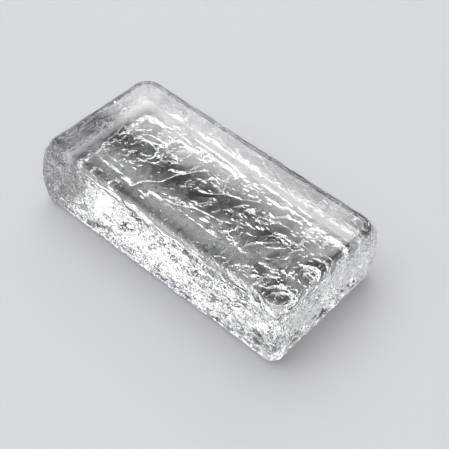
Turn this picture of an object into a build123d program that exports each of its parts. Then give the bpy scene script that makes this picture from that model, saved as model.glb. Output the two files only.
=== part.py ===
from build123d import *
from math import ceil, cos, pi, radians, sin
import os

# One solid glass block, cast in a single pour. Sizes are in millimetres.
# The frame has X along the block's length, Y across it and Z up. The origin
# is at the middle of the underside.

# Driving dimensions of the block
block_length = 200.0
block_width = 100.0
block_height = 50.0

# The four upright corners. They are fullest at the waist, halfway up, and
# rounder at the foot and the crown, where the hot glass drew back.
corner_radius_foot = 10.5
corner_radius_waist = 5.0
corner_radius_crown = 14.5

# The walls are widest at the waist and stand in from it at both ends.
foot_inset = 0.9
crown_inset = 0.4

# The rolled rims round the smooth top and round the underside
top_rim_radius = 7.0
base_rim_radius = 5.5

# Slow waves in the four walls, where the glass chilled against the mould.
# They die out before the upright corners.
wall_wave_depth = 0.6
wall_wave_pitch = 26.0
wall_wave_fade = 14.0

# Outlines that the body is lofted through, up each rim and up the walls
rim_steps = 5
wall_steps = 6

# Rolling ripples in the underside, inside the flat margin that it stands on.
# At their lowest they stay clear of the floor.
ripple_depth = 1.1
ripple_pitch = 24.0
ripple_clearance = 0.15
margin_width = 4.0
margin_run_in = 8.0
# The ripples start a hair above the margin, with a crisp edge to it.
ripple_step = 0.05

# The cut that leaves the ripples starts this far below the underside.
cut_depth = 2.0

# The swells that make up the waves. Each has its crests to a pitch along the
# face and across it, its phase in turns, and its share of the depth.
swells = (
    (1.00, 0.35, 0.00, 0.42),
    (-0.45, 0.95, 0.30, 0.33),
    (1.40, -0.75, 0.62, 0.25),
)
samples_per_pitch = 6


def swell(along, across, pitch, phase):
    """Waves between 0 and 1 at a place on a face, from the swells together."""
    height = 0.0
    for crests_along, crests_across, own_phase, share in swells:
        turns = (crests_along * along + crests_across * across) / pitch
        height += share * sin(2 * pi * (turns + own_phase + phase))
    return 0.5 + 0.5 * height


def fade_in(distance, reach):
    """0 at no distance, 1 at the reach and past it, with a soft start and end."""
    share = min(max(distance / reach, 0.0), 1.0)
    return share * share * (3 - 2 * share)


def even_places(reach, pitch):
    """Evenly spaced places from -reach to reach, several to a pitch."""
    steps = ceil(2 * reach / pitch * samples_per_pitch)
    return [reach * (2 * step / steps - 1) for step in range(steps + 1)]


def even_spline(points, **ends):
    """A spline whose points are evenly spaced in its own parameter."""
    shares = [step / (len(points) - 1) for step in range(len(points))]
    return Edge.make_spline(points, parameters=shares, **ends)


def wall_inset(up):
    """How far the walls stand in from the waist, at a share `up` of the height."""
    inset = foot_inset if up < 0.5 else crown_inset
    return inset * (2 * up - 1) ** 2


def corner_radius(up):
    """Radius of the upright corners, on the curve through its three values."""
    foot = corner_radius_foot * (1 - up) * (1 - 2 * up)
    waist = corner_radius_waist * 4 * up * (1 - up)
    crown = corner_radius_crown * up * (2 * up - 1)
    return foot + waist + crown


def profile_levels():
    """Each outline's height and how far the rims draw it in, from foot to crown."""
    levels = []
    for step in range(rim_steps):
        turn = pi / 2 * step / rim_steps
        levels.append((base_rim_radius * (1 - cos(turn)), base_rim_radius * (1 - sin(turn))))
    wall_height = block_height - base_rim_radius - top_rim_radius
    for step in range(wall_steps + 1):
        levels.append((base_rim_radius + wall_height * step / wall_steps, 0.0))
    for step in range(1, rim_steps + 1):
        turn = pi / 2 * step / rim_steps
        level = block_height - top_rim_radius * (1 - sin(turn))
        levels.append((level, top_rim_radius * (1 - cos(turn))))
    return levels


def wall_dip(place, straight, level, wall):
    """How far a wall's waves dip in, at a place along the straight of its run."""
    waves = swell(place, level, wall_wave_pitch, wall / 4)
    return wall_wave_depth * waves * fade_in(straight - abs(place), wall_wave_fade)


def ripple_height(x, y):
    """Height of the underside's ripples, which rise from the margin's inner edge."""
    waves = ripple_clearance + ripple_depth * swell(x, y, ripple_pitch, 0)
    inner = rise(ripple_reach_x - abs(x)) * rise(ripple_reach_y - abs(y))
    return ripple_step + waves * inner


def rise(distance):
    """0 at the margin's inner edge, 1 past the run-in, steepest at the edge."""
    return sin(pi / 2 * min(max(distance / margin_run_in, 0.0), 1.0))


def on_wall(wall, place, out):
    """Plan point of a wall: its place along the run, and how far out it stands."""
    spin = radians(90 * wall)
    return (place * cos(spin) + out * sin(spin), place * sin(spin) - out * cos(spin))


# What the ripples take out of the underside, lofted from side to side
ripple_reach_x = block_length / 2 - foot_inset - base_rim_radius - margin_width
ripple_reach_y = block_width / 2 - foot_inset - base_rim_radius - margin_width
with BuildPart() as underside_ripples:
    for y in even_places(ripple_reach_y, ripple_pitch):
        crests = [(x, ripple_height(x, y)) for x in even_places(ripple_reach_x, ripple_pitch)]
        with BuildSketch(Plane.XZ.offset(-y)):
            with BuildLine():
                add(even_spline(crests))
                Polyline(
                    crests[0],
                    (-ripple_reach_x, -cut_depth),
                    (ripple_reach_x, -cut_depth),
                    crests[-1],
                )
            make_face()
    loft()

wall_runs = (block_length / 2, block_width / 2) * 2
with BuildPart() as glass_block:
    # A waved, rounded outline at each level, lofted into the body and its rims
    for level, inset in profile_levels():
        up = level / block_height
        half_length = block_length / 2 - wall_inset(up) - inset
        half_width = block_width / 2 - wall_inset(up) - inset
        radius = corner_radius(up) - inset
        arc_middle = radius * (1 - cos(radians(45)))
        with BuildSketch(Plane.XY.offset(level)):
            with BuildLine():
                for wall in range(4):
                    run, out = (half_length, half_width) if wall % 2 == 0 else (half_width, half_length)
                    straight = run - radius
                    wall_points = []
                    for share in even_places(1.0, wall_wave_pitch / wall_runs[wall]):
                        place = share * straight
                        dip = wall_dip(place, straight, level, wall)
                        wall_points.append(on_wall(wall, place, out - dip))
                    along = on_wall(wall, 1, 0)
                    add(even_spline(wall_points, tangents=(along, along)))
                    ThreePointArc(
                        on_wall(wall, straight, out),
                        on_wall(wall, run - arc_middle, out - arc_middle),
                        on_wall(wall, run, out - radius),
                    )
            make_face()
    loft()

    add(underside_ripples.part, mode=Mode.SUBTRACT)

glass_block.part.label = "glass_block"

os.makedirs("parts", exist_ok=True)
export_step(glass_block.part, "parts/glass_block.step")
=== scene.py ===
# %% [markdown]
# A solid block of clear cast glass. The real one is poured hot into a metal
# mould. Its top stays liquid longest and cools smooth and shiny. Its sides and
# its underside touch the cold metal and wrinkle. Clear glass has no colour of
# its own, so all that the eye sees is shape: the smooth top is a window, and
# the wrinkled sides and underside bend the light of the room behind them. The
# solid holds the block's section, and this script dresses it. All sizes are
# worked out in millimetres first, and become metres when the mesh is made.

import math

import bmesh
import bpy
import numpy as np
from mathutils import Matrix, Vector, noise


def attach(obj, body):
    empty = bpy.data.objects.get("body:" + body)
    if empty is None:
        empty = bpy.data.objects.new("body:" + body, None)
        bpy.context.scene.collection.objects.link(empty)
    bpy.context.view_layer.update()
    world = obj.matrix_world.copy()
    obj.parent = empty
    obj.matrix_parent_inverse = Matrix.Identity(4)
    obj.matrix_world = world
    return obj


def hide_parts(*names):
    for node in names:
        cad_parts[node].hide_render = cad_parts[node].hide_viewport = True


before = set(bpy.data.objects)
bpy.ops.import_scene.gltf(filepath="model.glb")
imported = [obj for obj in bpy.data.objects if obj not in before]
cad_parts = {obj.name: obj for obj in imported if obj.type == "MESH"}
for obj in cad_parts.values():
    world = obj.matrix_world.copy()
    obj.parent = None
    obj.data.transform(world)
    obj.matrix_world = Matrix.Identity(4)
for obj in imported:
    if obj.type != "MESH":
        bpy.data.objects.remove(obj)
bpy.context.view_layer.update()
MM = 0.001

# %% [markdown]
# The camera comes first, because every later choice is judged through it. It
# looks down on the block past its near end, through a lens long enough that
# the far edges stay nearly parallel to the near ones. It could be aimed by eye,
# but its place, turn and lens were found together, by matching the block's
# outline, so they are set as numbers.

# %% The camera
CAMERA_PLACE = Vector((0.28171, -0.34356, 0.50786))
CAMERA_AZIMUTH = math.radians(37.734)
CAMERA_ELEVATION = math.radians(48.103)
CAMERA_ROLL = math.radians(4.837)
CAMERA_LENS, SENSOR_WIDTH = 83.28, 36.0


def make_camera():
    data = bpy.data.cameras.new("camera")
    data.lens = CAMERA_LENS
    data.sensor_width = SENSOR_WIDTH
    camera = bpy.data.objects.new("camera", data)
    bpy.context.scene.collection.objects.link(camera)
    turn = Matrix.Rotation(CAMERA_AZIMUTH, 4, "Z")
    tilt = Matrix.Rotation(math.pi / 2 - CAMERA_ELEVATION, 4, "X")
    roll = Matrix.Rotation(CAMERA_ROLL, 4, "Z")
    camera.matrix_world = Matrix.Translation(CAMERA_PLACE) @ turn @ tilt @ roll
    bpy.context.scene.camera = camera
    return camera


camera = make_camera()
print("camera looks along", [round(v, 4) for v in -camera.matrix_world.col[2].xyz])

# %% [markdown]
# The glass is one closed skin. It could be a cube with its edges bevelled, but
# the flat faces that a bevel leaves have no points to carry waves. So a cube
# is cut into an even net of small squares first, fine enough for the smallest
# wrinkle that shows in the outline, and the net is then pressed into shape as
# the mould and the cooling glass shape it. The underside has the sharpest
# wrinkles, so its squares are cut in four.

# %% An even net of squares over a plain box
HALF = np.array((100.0, 50.0))
HEIGHT = 50.0
NET_SQUARE = 1.12
FINE_INSET = 9.0
HAIR = 1e-3  # less than this, in millimetres, counts as nothing


def make_net(squares_to_a_side):
    """A box of glass as a net of squares, in millimetres."""
    net = bmesh.new()
    bmesh.ops.create_cube(net, size=1.0)
    size = (2 * HALF[0], 2 * HALF[1], HEIGHT)
    bmesh.ops.scale(net, vec=size, verts=net.verts)
    bmesh.ops.translate(net, vec=(0, 0, HEIGHT / 2), verts=net.verts)
    for axis in range(3):
        rungs = []
        for edge in net.edges:
            span = edge.verts[0].co - edge.verts[1].co
            if abs(span[axis]) > NET_SQUARE * 2:
                rungs.append(edge)
        cuts = squares_to_a_side[axis] - 1
        bmesh.ops.subdivide_edges(net, edges=rungs, cuts=cuts, use_grid_fill=True)
    return net


def split_underside(net, inside):
    """Cuts the squares of the underside in four, inside its margin."""
    def is_inside(face):
        middle = face.calc_center_median()
        return middle.z < HAIR and abs(middle.x) < inside[0] and abs(middle.y) < inside[1]

    edges = [edge for edge in net.edges if any(is_inside(face) for face in edge.link_faces)]
    bmesh.ops.subdivide_edges(net, edges=edges, cuts=1, use_grid_fill=True)


squares = [round(side / NET_SQUARE) for side in (2 * HALF[0], 2 * HALF[1], HEIGHT)]
net = make_net(squares)
split_underside(net, HALF - FINE_INSET)
print("net of", squares, "squares,", len(net.faces), "faces")

# %% [markdown]
# Next the box is rounded. The upright corners are sharpest halfway up and
# rounder at the foot and the crown, and the rims roll over: 7 mm at the top,
# which flowed while it was hot, and 5.5 mm at the base. The corners could be
# cut from the net with a rounded box, but that leaves slivers. A square of net
# at a corner is pressed into a quarter disc instead, which keeps its rows of
# points even.

# %% Rounded corners and rolled rims
CORNER_FOOT, CORNER_WAIST, CORNER_CROWN = 10.5, 5.0, 14.5
FOOT_INSET, CROWN_INSET = 0.9, 0.4
TOP_RIM, BASE_RIM = 7.0, 5.5
NEVER_ZERO = 1e-9


def corner_radius(up):
    foot = CORNER_FOOT * (1 - up) * (1 - 2 * up)
    waist = CORNER_WAIST * 4 * up * (1 - up)
    crown = CORNER_CROWN * up * (2 * up - 1)
    return foot + waist + crown


def wall_inset(up):
    return np.where(up < 0.5, FOOT_INSET, CROWN_INSET) * (2 * up - 1) ** 2


def to_disc(u, v):
    """Presses the square from 0 to 1 into a quarter disc."""
    return u * np.sqrt(1 - v * v / 2), v * np.sqrt(1 - u * u / 2)


def round_corners(points):
    """Plan places on the rounded box, which way is out, and how deep inside."""
    plan, sides = np.abs(points[:, :2]), np.sign(points[:, :2])
    radius = corner_radius(points[:, 2] / HEIGHT)
    square = (plan - (HALF - radius[:, None])) / radius[:, None]
    at_corner = (square > 0).all(axis=1)
    du, dv = to_disc(*np.clip(square, 0, 1).T)
    disc = np.stack((du, dv), axis=1)
    reach = np.maximum(np.hypot(du, dv), NEVER_ZERO)
    pressed = HALF - radius[:, None] + radius[:, None] * disc
    plan = np.where(at_corner[:, None], pressed, plan)
    gaps = HALF - plan
    straight_out = np.stack((gaps[:, 0] <= gaps[:, 1], gaps[:, 0] > gaps[:, 1]), axis=1)
    out = np.where(at_corner[:, None], disc / reach[:, None], straight_out)
    deep = np.where(at_corner, radius * (1 - reach), gaps.min(axis=1))
    return plan * sides, out * sides, np.maximum(deep, 0)


def roll_rims(plan, out, deep, level):
    """Rolls the top and base rims over, and draws the walls in above and below."""
    for rim, is_top in ((TOP_RIM, True), (BASE_RIM, False)):
        below = HEIGHT - level if is_top else level
        rolled = (deep < rim) & (below < rim)
        du, dv = to_disc(1 - np.minimum(deep, rim) / rim, 1 - np.minimum(below, rim) / rim)
        new_deep, new_below = rim * (1 - du), rim * (1 - dv)
        shift = np.where(rolled, new_deep - deep, 0)
        plan = plan - out * shift[:, None]
        deep = deep + shift
        new_level = HEIGHT - new_below if is_top else new_below
        level = np.where(rolled, new_level, level)
    inset = wall_inset(level / HEIGHT)[:, None]
    return plan * (HALF - inset) / HALF, deep, level


net.verts.ensure_lookup_table()
box_points = np.array([vert.co for vert in net.verts])
plan, outward, deep = round_corners(box_points)
plan, deep, level = roll_rims(plan, outward, deep, box_points[:, 2])
rounded = np.column_stack((plan, level))
print("rounded", rounded.min(axis=0).round(2), rounded.max(axis=0).round(2))

# %% [markdown]
# Where the glass met the mould it chilled in slow waves, 26 mm apart in the
# walls and 24 mm apart in the underside. Any smooth noise could make them. But
# they are the block's real section, so they follow the same swells as the
# solid, from the same sum of sines.

# %% Slow waves in the walls and the underside
SWELLS = (
    (1.00, 0.35, 0.00, 0.42),
    (-0.45, 0.95, 0.30, 0.33),
    (1.40, -0.75, 0.62, 0.25),
)
WALL_WAVE_DEPTH, WALL_WAVE_PITCH, WALL_WAVE_FADE = 0.6, 26.0, 14.0
WAVES_REACH_IN = 12.0
RIPPLE_DEPTH, RIPPLE_PITCH = 1.1, 24.0
RIPPLE_CLEARANCE, RIPPLE_STEP = 0.15, 0.05
MARGIN, MARGIN_RUN_IN = 4.0, 8.0


def swell(along, across, pitch, phase):
    height = 0
    for crests_along, crests_across, own_phase, share in SWELLS:
        turns = (crests_along * along + crests_across * across) / pitch
        height = height + share * np.sin(2 * math.pi * (turns + own_phase + phase))
    return 0.5 + 0.5 * height


def fade_in(distance, reach):
    share = np.clip(distance / reach, 0, 1)
    return share * share * (3 - 2 * share)


def wall_waves(points, out, deep):
    """How far the slow waves dip into the walls."""
    on_end = np.abs(out[:, 0]) > np.abs(out[:, 1])
    side = np.where(on_end, np.sign(out[:, 0]), np.sign(out[:, 1]))
    wall = np.where(on_end, np.where(side > 0, 1, 3), np.where(side > 0, 2, 0))
    place = np.where(on_end, points[:, 1] * side, -points[:, 0] * side)
    run = np.where(on_end, HALF[1], HALF[0]) - corner_radius(points[:, 2] / HEIGHT)
    waves = WALL_WAVE_DEPTH * swell(place, points[:, 2], WALL_WAVE_PITCH, wall / 4)
    waves = waves * fade_in(run - np.abs(place), WALL_WAVE_FADE)
    return waves * fade_in(WAVES_REACH_IN - deep, WAVES_REACH_IN)


def inside_margin(points):
    """0 on the flat margin of the underside, 1 well inside it."""
    reach = HALF - FOOT_INSET - BASE_RIM - MARGIN
    share = np.clip((reach - np.abs(points[:, :2])) / MARGIN_RUN_IN, 0, 1)
    return np.sin(math.pi / 2 * share).prod(axis=1)


def underside_ripples(points):
    """How far the slow ripples lift the underside off the floor."""
    waves = swell(points[:, 0], points[:, 1], RIPPLE_PITCH, 0)
    lift = RIPPLE_CLEARANCE + RIPPLE_DEPTH * waves
    inner = inside_margin(points)
    return np.where(inner > 0, RIPPLE_STEP + lift * inner, 0)


under = (box_points[:, 2] < HAIR) & (rounded[:, 2] < HAIR)
waved = rounded.copy()
waved[:, :2] -= outward * wall_waves(rounded, outward, deep)[:, None]
waved[:, 2] += np.where(under, underside_ripples(rounded), 0)
print("waved", waved.min(axis=0).round(2), waved.max(axis=0).round(2))

# %% [markdown]
# Over the slow waves lie the chill wrinkles. They are what makes cast glass
# sparkle: each one is a small lens. They could be a bump map, but bump cannot
# turn light back inside the glass, and the bright threads in the underside are
# light that is turned back. So the wrinkles are pressed into the net. First
# come the kinds of noise that the wrinkles are made of. The noise that bends
# them is drawn from the clock unless it is given a seed, so it is given one.

# %% Kinds of wrinkle noise
BEND_SEED = 2
SEED_STEP = (17.3, 5.1, 9.7)
# How fast the finer layers of a noise fade, how much finer each is, and how many.
GRAIN_LAYERS = (0.9, 2.1, 3)
TORN_LAYERS = (0.75, 2.2, 4)
FOLD_BEND, FOLD_PULL = 0.7, 0.8
TORN_BEND, TORN_PULL = 0.55, 0.9

noise.seed_set(BEND_SEED)


def noise_field(points, scale, seed, kind):
    """One value of noise for each point, at that scale in millimetres."""
    shift = Vector([seed * step for step in SEED_STEP])
    return np.array([kind(Vector(point / scale) + shift) for point in points])


def plain(place):
    return noise.noise(place)


def grain(place):
    return noise.fractal(place, *GRAIN_LAYERS)


def folds(place):
    """High along thin bent lines, low between them."""
    bend = noise.noise_vector(place * FOLD_BEND)
    return 1 - abs(noise.noise(place + bend * FOLD_PULL))


def torn(place):
    """Flowing wrinkles: their places are bent by a slower noise first."""
    bend = noise.noise_vector(place * TORN_BEND)
    return noise.fractal(place + bend * TORN_PULL, *TORN_LAYERS)


print("bends drawn from seed", BEND_SEED)

# %% [markdown]
# Each kind has its own size, in millimetres. One noise with many layers could
# hold them all, but then none could be changed alone. Those of the underside
# are drawn out a little along the block, the way that the glass flowed. One
# more field says how calm each part is, and one makes the edges of the clear
# streams ragged.

# %% One field for each kind of wrinkle
LUMP_SIZE, TEAR_SIZE, CREASE_SIZE = 18.0, 9.5, 11.0
CURL_SIZE, GRAIN_SIZE = 4.4, 4.2
CALM_SIZE, CALM_EDGE = 24.0, 0.55
RAG_SIZE, RAG_SHARE = 9.0, 0.9
FLOW = np.array((0.75, 1.0, 1.0))
GRAIN_SQUASH = np.array((1.0, 1.0, 1.3))

lumps = noise_field(waved * FLOW, LUMP_SIZE, 1, plain)
tears = noise_field(waved * FLOW, TEAR_SIZE, 2, torn)
creases = noise_field(waved * FLOW, CREASE_SIZE, 3, folds)
calm = fade_in(0.5 + noise_field(waved * FLOW, CALM_SIZE, 4, plain), CALM_EDGE)
curls = noise_field(waved * FLOW, CURL_SIZE, 9, torn)
wall_grain = 0.5 + 0.5 * noise_field(waved * GRAIN_SQUASH, GRAIN_SIZE, 5, grain)
raggedness = 1 + RAG_SHARE * noise_field(waved, RAG_SIZE, 8, grain)
print("tears from", tears.min().round(2), "to", tears.max().round(2))

# %% [markdown]
# The underside did not chill evenly. Where the glass flowed last it is calm
# and clear, in one long ragged stream and in a run along the near edge. Five
# round hollows were left by bubbles under the glass, and a few thin laps mark
# where one tongue of glass met the next. They could be painted on the mesh, but
# a painting can't be read. So each is a line or a circle in plan, in
# millimetres, that can be moved by hand.

# %% Clear streams, hollows and laps
CLEAR_STREAM = ((-90, 8), (-65, 7), (-38, 3), (-10, 8), (23, 24), (40, 27))
NEAR_STREAM = ((-90, -21), (-60, -25), (30, -26))
NEAR_POOL = ((-90, -19), (-78, -21))
# Each stream: its line, and how far it reaches to the sides.
STREAMS = ((CLEAR_STREAM, 12), (NEAR_STREAM, 9), (NEAR_POOL, 9))
LAPS = (
    ((-48, -18), (-46, -10), (-37, -2), (-33, 10), (-27, 20), (-22, 26)),
    ((-25, -11), (-15, -10), (-5, -3), (7, -2), (21, 4)),
    ((-95, 24), (-91, 17), (-89, 10), (-89, 2)),
    ((-13, 9), (-2, 17), (10, 23), (20, 29)),
)
# Each hollow: its place along and across, its radius and its depth.
HOLLOWS = (
    (75.6, -20.5, 9.0, 3.0),
    (80.6, 5.0, 7.5, 2.6),
    (77.0, 32.0, 7.0, 2.6),
    (42.9, 27.2, 6.5, 1.2),
    (-73.6, -23.9, 3.5, 1.2),
)
RING_AT, RING_REACH = 0.75, 0.3
CLEAR_GAIN = 1.4
FAR_AWAY = 1e9


def near_line(points, line):
    """Distance in plan from a line through a few places."""
    nearest = np.full(len(points), FAR_AWAY)
    for start, end in zip(line, line[1:]):
        start, end = np.array(start, float), np.array(end, float)
        run = end - start
        share = np.clip((points[:, :2] - start) @ run / (run @ run), 0, 1)
        foot = start + share[:, None] * run
        nearest = np.minimum(nearest, np.hypot(*(points[:, :2] - foot).T))
    return nearest


def bell(distance, reach):
    return np.exp(-((distance / reach) ** 2))


def out_of_hollow(points, x, y, radius):
    """0 in the middle of a round hollow, 1 at its rim."""
    return np.hypot(points[:, 0] - x, points[:, 1] - y) / radius


def clearness(points):
    """1 in the clear streams and round each hollow's rim, 0 elsewhere."""
    clear = np.zeros(len(points))
    for line, reach in STREAMS:
        clear = np.maximum(clear, bell(near_line(points, line), reach * raggedness))
    for x, y, radius, _ in HOLLOWS:
        off_ring = out_of_hollow(points, x, y, radius) - RING_AT
        clear = np.maximum(clear, bell(off_ring, RING_REACH))
    return np.clip(CLEAR_GAIN * clear, 0, 1)


clear = np.where(under, clearness(waved), 1)
print("clear share of the underside", clear[under].mean().round(2))

# %% [markdown]
# Along the near side the glass was dragged as it set, which wiped its wrinkles
# into long soft streaks, and at the near end of that run short folds fan out
# like rays. Each kind could be a displace modifier of its own, but the kinds
# hold each other back, so they are added up as one depth, in millimetres: the
# broad lumps, the tears that stand in them, the creases cut back out of them,
# the curls, the streaks, the rays and the bubbles' hollows.

# %% How deep the underside is wrinkled
DRAG_LINE, DRAG_REACH = -13.5, 6.5
DRAG_END, DRAG_RUN_OUT = 45.0, 30.0
STREAK_STRETCH = np.array((0.07, 1.0, 1.0))
STREAK_SIZE, STREAK_DEPTH = 3.4, 1.1
RAY_FAN, FAN_REACH = ((42, -20), (58, -21)), 9.0
RAY_STRETCH = np.array((1.0, 0.16, 1.0))
RAY_SIZE, RAY_DEPTH = 2.8, 1.2
MEAN_DEPTH, LUMP_DEPTH, CREASE_DEPTH, CURL_DEPTH = 2.6, 1.6, 1.0, 0.5
TEAR_IN_STREAM, TEAR_LEAST, TEAR_MORE = 0.6, 1.0, 1.4
WIPED = 0.8


def underside_wrinkles(points):
    """The depth of all wrinkles inside the margin, and the streaks alone."""
    dragged = bell(points[:, 1] - DRAG_LINE, DRAG_REACH)
    dragged = dragged * fade_in(DRAG_END - points[:, 0], DRAG_RUN_OUT)
    streaks = noise_field(points * STREAK_STRETCH, STREAK_SIZE, 6, plain) * dragged
    fan = noise_field(points * RAY_STRETCH, RAY_SIZE, 7, plain)
    fan = fan * bell(near_line(points, RAY_FAN), FAN_REACH)
    left = 1 - WIPED * dragged
    tearing = TEAR_IN_STREAM + (TEAR_LEAST + TEAR_MORE * calm) * (1 - clear)
    depth = MEAN_DEPTH + LUMP_DEPTH * lumps + CURL_DEPTH * curls * (1 - dragged)
    depth = depth + left * (tearing * tears - CREASE_DEPTH * creases ** 3)
    depth = depth + STREAK_DEPTH * streaks + RAY_DEPTH * fan
    for x, y, radius, deep_in in HOLLOWS:
        bowl = 1 - out_of_hollow(points, x, y, radius) ** 2
        depth = depth + deep_in * np.clip(bowl, 0, 1)
    return depth, streaks


middle_dips, streaks = underside_wrinkles(waved)
print("underside dips, middle one", np.median(middle_dips[under]).round(2), "mm")

# %% [markdown]
# The block stands on the low points of the margin round its underside, so the
# wrinkles there are shallow. The walls carry a finer grain, deeper in the two
# end walls, and it fades out below the top, which has none. Wrinkles could
# stand proud of the skin as well, but nothing stands out past the mould, so
# all of them are cut inwards, along the skin's own normals.

# %% Press the wrinkles in
MARGIN_MEAN, MARGIN_TEARS, MARGIN_GRAIN, MARGIN_DEEPEST = 0.9, 1.5, 0.8, 3.0
LAP_DEPTH, LAP_REACH = 1.0, 0.9
WALL_GRAIN_DEPTH, END_GRAIN_DEPTH, GRAIN_MOST = 0.8, 0.8, 1.5
GRAIN_STOPS_BELOW_TOP, GRAIN_INTO_RIM = 6.0, 0.6 * TOP_RIM
END_WALL_FROM, END_WALL_RUN_IN = 0.5, 0.4


def write_points(mesh, points):
    for vert, point in zip(mesh.verts, points):
        vert.co = point
    mesh.normal_update()


write_points(net, waved)
normals = np.array([vert.normal for vert in net.verts])
on_top = box_points[:, 2] > HEIGHT - HAIR
on_wall = (1 - fade_in(np.where(on_top, deep, 0), GRAIN_INTO_RIM)) * np.where(under, 0, 1)
below_top = HEIGHT - GRAIN_STOPS_BELOW_TOP
on_wall = on_wall * (1 - fade_in(waved[:, 2] - below_top, GRAIN_STOPS_BELOW_TOP))
on_end = fade_in(np.abs(outward[:, 0]) - END_WALL_FROM, END_WALL_RUN_IN)
inner = np.where(under, inside_margin(waved), 0)

margin_dips = MARGIN_MEAN + MARGIN_TEARS * tears + MARGIN_GRAIN * (wall_grain - 0.5)
under_dips = inner * middle_dips + (1 - inner) * np.clip(margin_dips, 0, MARGIN_DEEPEST)
for lap in LAPS:
    under_dips = under_dips + LAP_DEPTH * bell(near_line(waved, lap), LAP_REACH)
wall_dips = WALL_GRAIN_DEPTH + END_GRAIN_DEPTH * on_end
wall_dips = wall_dips * np.clip(wall_grain, 0, GRAIN_MOST)
dips = np.where(under, under_dips, on_wall * wall_dips)
write_points(net, waved - normals * np.maximum(dips, 0)[:, None])
print("wrinkles up to", dips.max().round(2), "mm deep")

# %% [markdown]
# Wrinkled glass also gathers light. It throws bright patches and dark streams
# on to whatever lies below, and that is most of what is seen through the top.
# Cycles could trace such light, but only very slowly, so the skin carries two
# values of its own instead: how much mottled light and how much even light its
# underside lets through. The light lands a few millimetres aside of the place
# that let it through, so each value is read that far to the other side.

# %% Where the underside lets light through
LANDS_ASIDE = np.array((3.3, -3.5, 0))
HAZE = ((-65, 37), (-20, 38), (10, 34), (55, 27))
HAZE_LIGHT, HAZE_REACH = 0.5, 11.0
FAR_SIDE, FAR_LIGHT, FAR_RUN_IN = 38.0, 0.7, 5.0
FAR_EVEN, FAR_TORN = 0.8, 0.5
FAR_END, END_LIGHT, END_RUN_IN = 86.0, 0.4, 6.0
SOFT_RUN = ((-90, -12), (-60, -13), (-30, -14), (42, -14))
SOFT_LIGHT, SOFT_REACH = 1.3, 9.0
SOFT_EVEN, SOFT_STREAKED = 0.85, 0.6
MOST_LIGHT = 0.95

landing = waved + LANDS_ASIDE
frost = (1 - clearness(landing)) * np.where(under, 1, 0)
even = HAZE_LIGHT * bell(near_line(landing, HAZE), HAZE_REACH)
far = FAR_LIGHT * fade_in(landing[:, 1] - FAR_SIDE, FAR_RUN_IN)
even = even + far * (FAR_EVEN + FAR_TORN * tears)
even = (even + END_LIGHT * fade_in(-landing[:, 0] - FAR_END, END_RUN_IN)) * frost
soft = SOFT_LIGHT * bell(near_line(landing, SOFT_RUN), SOFT_REACH)
soft = soft * (SOFT_EVEN + SOFT_STREAKED * streaks)
even = np.clip(np.maximum(even, soft), 0, MOST_LIGHT) * np.where(under, 1, 0)
print("mottled", frost[under].mean().round(2), "even", even[under].mean().round(2))

# %% [markdown]
# The net becomes the block's mesh, in metres, where the solid stands. Three
# values go with each of its points, for the glass to read: whether the point
# is on the underside, and the mottled and the even light that it lets through.
# The underside could be told by its height, but its deepest wrinkles reach
# higher than the foot of the walls.

# %% The block
def finish_block(net):
    bmesh.ops.scale(net, vec=(MM, MM, MM), verts=net.verts)
    bmesh.ops.recalc_face_normals(net, faces=net.faces)
    mesh = bpy.data.meshes.new("cast_block")
    net.to_mesh(mesh)
    net.free()
    mesh.shade_smooth()
    foot = np.where(under, 1.0, 0.0)
    for name, values in (("foot", foot), ("frost", frost), ("even_light", even)):
        layer = mesh.attributes.new(name, "FLOAT", "POINT")
        layer.data.foreach_set("value", values)
    block = bpy.data.objects.new("cast_block", mesh)
    bpy.context.scene.collection.objects.link(block)
    return block


block = finish_block(net)
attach(block, "root")
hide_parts("glass_block")
print("block has", len(block.data.polygons), "faces")

# %% [markdown]
# The glass is clear and the same all through, with full transmission and an
# index of 1.5. Only its skin changes. The walls and the underside touched the
# mould and the top did not, so everything that the mould left on the glass
# fades out at the rim of the top. Two materials could meet there, but they
# would show an edge that the real block doesn't have, so one material fades
# its own effects by masks.

# %% The clear glass itself
GLASS_INDEX = 1.5
MOULD_UP_TO, OPEN_FROM = 0.043, 0.047


def start_glass():
    material = bpy.data.materials.new("clear_cast_glass")
    material.use_nodes = True
    shader = material.node_tree.nodes["Principled BSDF"]
    shader.inputs["IOR"].default_value = GLASS_INDEX
    shader.inputs["Transmission Weight"].default_value = 1.0
    return material, material.node_tree, shader


def add_range(tree, value, start, end, low=0.0, high=1.0):
    """A soft step from `low` at `start` to `high` at `end`."""
    step = tree.nodes.new("ShaderNodeMapRange")
    step.interpolation_type = "SMOOTHSTEP"
    for name, number in (("From Min", start), ("From Max", end), ("To Min", low), ("To Max", high)):
        step.inputs[name].default_value = number
    tree.links.new(value, step.inputs["Value"])
    return step.outputs["Result"]


def read_value(tree, name):
    """A value that the block's points carry."""
    attribute = tree.nodes.new("ShaderNodeAttribute")
    attribute.attribute_name = name
    return attribute.outputs["Fac"]


def mould_mask(tree, place):
    """1 where the glass touched the mould, 0 on the open top."""
    split = tree.nodes.new("ShaderNodeSeparateXYZ")
    tree.links.new(place, split.inputs["Vector"])
    return add_range(tree, split.outputs["Z"], OPEN_FROM, MOULD_UP_TO)


glass, tree, shader = start_glass()
block.data.materials.append(glass)
place = tree.nodes.new("ShaderNodeTexCoord").outputs["Object"]
moulded = mould_mask(tree, place)
on_underside = read_value(tree, "foot")
print("glass index", shader.inputs["IOR"].default_value)

# %% [markdown]
# The finest chill grain is a few tenths of a millimetre high at most. A net
# fine enough for it would have millions of squares, so it is bump: a soft peel
# on the walls, and on the underside curls that come in patches, with thin
# fibres over them.

# %% Chill grain as bump
BUMP_HEIGHT = 0.0006
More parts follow.
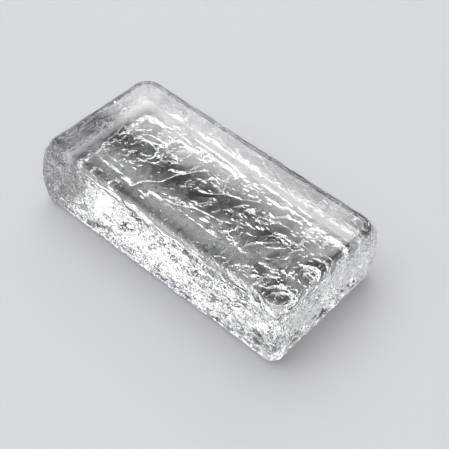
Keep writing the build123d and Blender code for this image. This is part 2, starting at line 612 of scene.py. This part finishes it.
# Each noise, here and below: how many grains to a metre, detail and distortion.
PEEL, PEEL_SHARE = (360.0, 0.0, 0.4), 0.36
CURLS = (260.0, 1.0, 1.0)
CURL_PATCHES, PATCH_STEP = (32.0, 1.0, 0.5), (0.42, 0.60, 0.15, 1.0)
FIBRES, FIBRE_SHARE = (620.0, 1.0, 1.5), 0.2


def add_noise(tree, place, scale, detail, distortion):
    texture = tree.nodes.new("ShaderNodeTexNoise")
    texture.inputs["Scale"].default_value = scale
    texture.inputs["Detail"].default_value = detail
    texture.inputs["Distortion"].default_value = distortion
    tree.links.new(place, texture.inputs["Vector"])
    return texture.outputs["Fac"]


def add_math(tree, operation, first, second=0.0):
    math_node = tree.nodes.new("ShaderNodeMath")
    math_node.operation = operation
    for socket, value in zip(math_node.inputs, (first, second)):
        if isinstance(value, float):
            socket.default_value = value
        else:
            tree.links.new(value, socket)
    return math_node.outputs["Value"]


def add_mix(tree, share, first, second):
    mix = tree.nodes.new("ShaderNodeMix")
    tree.links.new(share, mix.inputs["Factor"])
    for name, value in (("A", first), ("B", second)):
        if isinstance(value, float):
            mix.inputs[name].default_value = value
        else:
            tree.links.new(value, mix.inputs[name])
    return mix.outputs["Result"]


def add_chill_grain(tree, shader, place, moulded, on_underside):
    peel = add_math(tree, "MULTIPLY", add_noise(tree, place, *PEEL), PEEL_SHARE)
    curled = add_math(tree, "ADD", add_noise(tree, place, *CURLS), peel)
    patches = add_range(tree, add_noise(tree, place, *CURL_PATCHES), *PATCH_STEP)
    fibres = add_math(tree, "MULTIPLY", add_noise(tree, place, *FIBRES), FIBRE_SHARE)
    below = add_math(tree, "ADD", add_math(tree, "MULTIPLY", curled, patches), fibres)
    relief = add_math(tree, "MULTIPLY", add_mix(tree, on_underside, peel, below), moulded)
    bump = tree.nodes.new("ShaderNodeBump")
    bump.inputs["Distance"].default_value = BUMP_HEIGHT
    tree.links.new(relief, bump.inputs["Height"])
    tree.links.new(bump.outputs["Normal"], shader.inputs["Normal"])


add_chill_grain(tree, shader, place, moulded, on_underside)
print("chill grain on a bump of", round(BUMP_HEIGHT / MM, 2), "mm")

# %% [markdown]
# Some folds in the chilled skin are so tight that no light finds its way out of
# them, and they show as thin dark flecks. That shade is painted into the glass's
# colour, as a dark tint along the folds. A narrow band round the middle value of
# a noise is just such a thin bent line, and a slower noise lets the lines through
# in patches.

# %% Painted shade in thin folds
CLEAR_TINT = (0.97, 0.985, 0.985, 1)
# Painted shade: the dark colour of tight folds that no light gets out of.
FOLD_SHADE_TINT = (0.12, 0.125, 0.13, 1)
FOLDS, MIDDLE_VALUE, FOLD_STEP = (210.0, 1.5, 1.6), 0.5, (0.006, 0.030, 1.0, 0.0)
FOLD_PATCHES, FOLD_PATCH_STEP = (75.0, 1.0, 0.5), (0.46, 0.56)


# Paints shade into the glass's colour along thin bent lines, in patches, off the top.
def add_painted_fold_shade(tree, shader, place, moulded):
    bends = add_math(tree, "SUBTRACT", add_noise(tree, place, *FOLDS), MIDDLE_VALUE)
    lines = add_range(tree, add_math(tree, "ABSOLUTE", bends), *FOLD_STEP)
    patches = add_range(tree, add_noise(tree, place, *FOLD_PATCHES), *FOLD_PATCH_STEP)
    lines = add_math(tree, "MULTIPLY", add_math(tree, "MULTIPLY", lines, patches), moulded)
    tint = tree.nodes.new("ShaderNodeMix")
    tint.data_type = "RGBA"
    tint.inputs["A"].default_value = CLEAR_TINT
    tint.inputs["B"].default_value = FOLD_SHADE_TINT
    tree.links.new(lines, tint.inputs["Factor"])
    tree.links.new(tint.outputs["Result"], shader.inputs["Base Color"])


add_painted_fold_shade(tree, shader, place, moulded)
print("folds tinted", FOLD_SHADE_TINT[:3])

# %% [markdown]
# Away from the clear streams the underside is mottled: wisps with flecks among
# them. A plain roughness there would look like ground glass. The mottle breaks
# it up, so that what is seen is haze, with clear glass showing between. The
# same mottle breaks up the light that gets through.

# %% Mottled haze on the underside
WISPS, WISP_SHARE = (55.0, 5.0, 2.0), 0.7
FLECKS, FLECK_SHARE = (210.0, 3.0, 1.2), 0.3
HAZE_STEP = (0.40, 0.60, 0.0, 0.15)


def add_mottle(tree, place):
    wisps = add_math(tree, "MULTIPLY", add_noise(tree, place, *WISPS), WISP_SHARE)
    flecks = add_math(tree, "MULTIPLY", add_noise(tree, place, *FLECKS), FLECK_SHARE)
    return add_math(tree, "ADD", wisps, flecks)


def add_haze(tree, shader, mottle, away_from_streams):
    rough = add_range(tree, mottle, *HAZE_STEP)
    rough = add_math(tree, "MULTIPLY", rough, away_from_streams)
    tree.links.new(rough, shader.inputs["Roughness"])


mottle = add_mottle(tree, place)
away_from_streams = read_value(tree, "frost")
add_haze(tree, shader, mottle, away_from_streams)
print("haze roughness up to", HAZE_STEP[-1])

# %% [markdown]
# A ray that asks how much light reaches the floor meets a clear sheet in place
# of the glass, and the sheet's colour is the light that is let through: most of
# it by the top and the walls, and by the underside the mottled and the even
# light. Traced caustics could do the same, but far more slowly. With neither,
# the floor below the block would be as dark as below a stone.

# %% Light that the block lets through
WALL_LETS_THROUGH = 0.78
MOTTLED_LIGHT_STEP = (0.43, 0.57)


def add_passing_light(tree, shader, mottle, away_from_streams, on_underside):
    passed = add_range(tree, mottle, *MOTTLED_LIGHT_STEP)
    passed = add_math(tree, "MULTIPLY", passed, away_from_streams)
    passed = add_math(tree, "MAXIMUM", passed, read_value(tree, "even_light"))
    sheet = tree.nodes.new("ShaderNodeBsdfTransparent")
    tree.links.new(add_mix(tree, on_underside, WALL_LETS_THROUGH, passed), sheet.inputs["Color"])
    either = tree.nodes.new("ShaderNodeMixShader")
    light_path = tree.nodes.new("ShaderNodeLightPath")
    tree.links.new(light_path.outputs["Is Shadow Ray"], either.inputs["Fac"])
    tree.links.new(shader.outputs["BSDF"], either.inputs[1])
    tree.links.new(sheet.outputs["BSDF"], either.inputs[2])
    tree.links.new(either.outputs["Shader"], tree.nodes["Material Output"].inputs["Surface"])


add_passing_light(tree, shader, mottle, away_from_streams, on_underside)
print("glass has", len(tree.nodes), "nodes")

# %% [markdown]
# The block stands on a plain pale floor that takes its shadow. A mirror floor
# would double the sparkle, but the mirrored wall would run into the real one
# and hide where the block ends, so the floor is half matt.

# %% A plain pale floor
FLOOR_SIZE = 3.0
FLOOR_COLOUR, FLOOR_ROUGHNESS = (0.62, 0.63, 0.65, 1), 0.6


def make_floor():
    sheet = bmesh.new()
    bmesh.ops.create_grid(sheet, x_segments=1, y_segments=1, size=FLOOR_SIZE)
    mesh = bpy.data.meshes.new("floor")
    sheet.to_mesh(mesh)
    sheet.free()
    floor = bpy.data.objects.new("floor", mesh)
    bpy.context.scene.collection.objects.link(floor)
    material = bpy.data.materials.new("pale_floor")
    material.use_nodes = True
    shader = material.node_tree.nodes["Principled BSDF"]
    shader.inputs["Base Color"].default_value = FLOOR_COLOUR
    shader.inputs["Roughness"].default_value = FLOOR_ROUGHNESS
    mesh.materials.append(material)
    return floor


floor = make_floor()
print(floor.name, "is", round(floor.dimensions.x, 2), "m across")

# %% [markdown]
# Glass shows nothing but its surroundings. Area lamps over the floor would make
# pools of light on it, so the lamps are parts of the room, far away, and all of
# them can be seen in the glass. A softbox is round and fades to its edge. A
# bank is a soft rectangle, placed by its angles from the middle of the part of
# the room that the top mirrors.

# %% Softboxes and banks of light
BANK_WAY = Vector((-0.46, 0.55, 0.696)).normalized()
# How near to BANK_WAY a bank has to be, as a cosine. Without this, each bank
# would glow on the opposite side of the room as well.
AHEAD = (0.5, 0.6)


def add_dot(tree, vector, way):
    dot = tree.nodes.new("ShaderNodeVectorMath")
    dot.operation = "DOT_PRODUCT"
    dot.inputs[1].default_value = way
    tree.links.new(vector, dot.inputs[0])
    return dot.outputs["Value"]


def add_softbox(tree, look, way, core, edge, glow):
    """Full glow inside `core` degrees of `way`, none outside `edge` degrees."""
    facing = add_dot(tree, look, Vector(way).normalized())
    core, edge = math.cos(math.radians(core)), math.cos(math.radians(edge))
    return add_range(tree, facing, edge, core, 0.0, glow)


def add_bank(tree, look, across, down, glow):
    """Each span runs from no light to full light and back, in degrees."""
    along = (Vector((1, 0, 0)) - BANK_WAY * BANK_WAY.x).normalized()
    upright = BANK_WAY.cross(along)
    facing = add_dot(tree, look, BANK_WAY)
    share = add_range(tree, facing, *AHEAD, 0.0, glow)
    for axis, span in ((along, across), (upright, down)):
        offset = add_dot(tree, look, axis)
        edges = [math.sin(math.radians(degrees)) for degrees in span]
        rise = add_range(tree, offset, edges[0], edges[1])
        fall = add_range(tree, offset, edges[3], edges[2])
        share = add_math(tree, "MULTIPLY", add_math(tree, "MULTIPLY", share, rise), fall)
    return share


print("banks stand round", [round(v, 3) for v in BANK_WAY])

# %% [markdown]
# The room is bright round the horizon, which keeps the floor pale to its edge,
# and dimmer above. An evenly white room would leave clear glass with no shape at
# all. Two softboxes overhead light the floor and the wrinkles. The three banks
# are what the top mirrors, and the dark gaps between them are what makes the
# middle of the block look deep and dark.

# %% The room
HORIZON_GLOW, OVERHEAD_GLOW = 0.62, 0.15
GLOW_FADES_FROM, GLOW_FADES_TO = 0.18, 0.36
ROOM_COLOUR = (0.97, 0.985, 1.0, 1)
# Each softbox: which way it is, its core and its edge in degrees, and its glow.
SOFTBOXES = (
    ((-0.24, -0.17, 0.955), 10, 22, 4.4),
    ((-0.409, -0.528, 0.744), 8, 24, 2.0),
)
# Each bank: its span across, its span down, and its glow.
BANKS = (
    ((-10, -6, 8, 14), (-1.8, -0.1, 1.4, 3.0), 6.5),
    ((-24, -16, 18, 26), (3.5, 6, 15, 22), 3.2),
    ((-32, -24, 26, 34), (-38, -30, -8, -5), 2.1),
)


def make_room():
    room = bpy.data.worlds.new("studio")
    room.use_nodes = True
    tree = room.node_tree
    look = tree.nodes.new("ShaderNodeTexCoord").outputs["Generated"]
    split = tree.nodes.new("ShaderNodeSeparateXYZ")
    tree.links.new(look, split.inputs["Vector"])
    fade = (GLOW_FADES_FROM, GLOW_FADES_TO, HORIZON_GLOW, OVERHEAD_GLOW)
    light = add_range(tree, split.outputs["Z"], *fade)
    for way, core, edge, glow in SOFTBOXES:
        light = add_math(tree, "ADD", light, add_softbox(tree, look, way, core, edge, glow))
    for across, down, glow in BANKS:
        light = add_math(tree, "ADD", light, add_bank(tree, look, across, down, glow))
    sky = tree.nodes["Background"]
    sky.inputs["Color"].default_value = ROOM_COLOUR
    tree.links.new(light, sky.inputs["Strength"])
    bpy.context.scene.world = room


make_room()
print("room with", len(SOFTBOXES), "softboxes and", len(BANKS), "banks")

# %% [markdown]
# Light turns back many times inside glass, so a ray needs many bounces before
# it may stop: with too few, tight wrinkles turn black. The patches below the
# block are already drawn by the skin, so caustics stay off.

# %% How far light is followed
BOUNCES = 24
cycles = bpy.context.scene.cycles
cycles.caustics_refractive = False
cycles.caustics_reflective = False
cycles.max_bounces = BOUNCES
cycles.glossy_bounces = BOUNCES
cycles.transmission_bounces = BOUNCES
bpy.context.scene.view_settings.view_transform = "Standard"
print("bounces", BOUNCES)
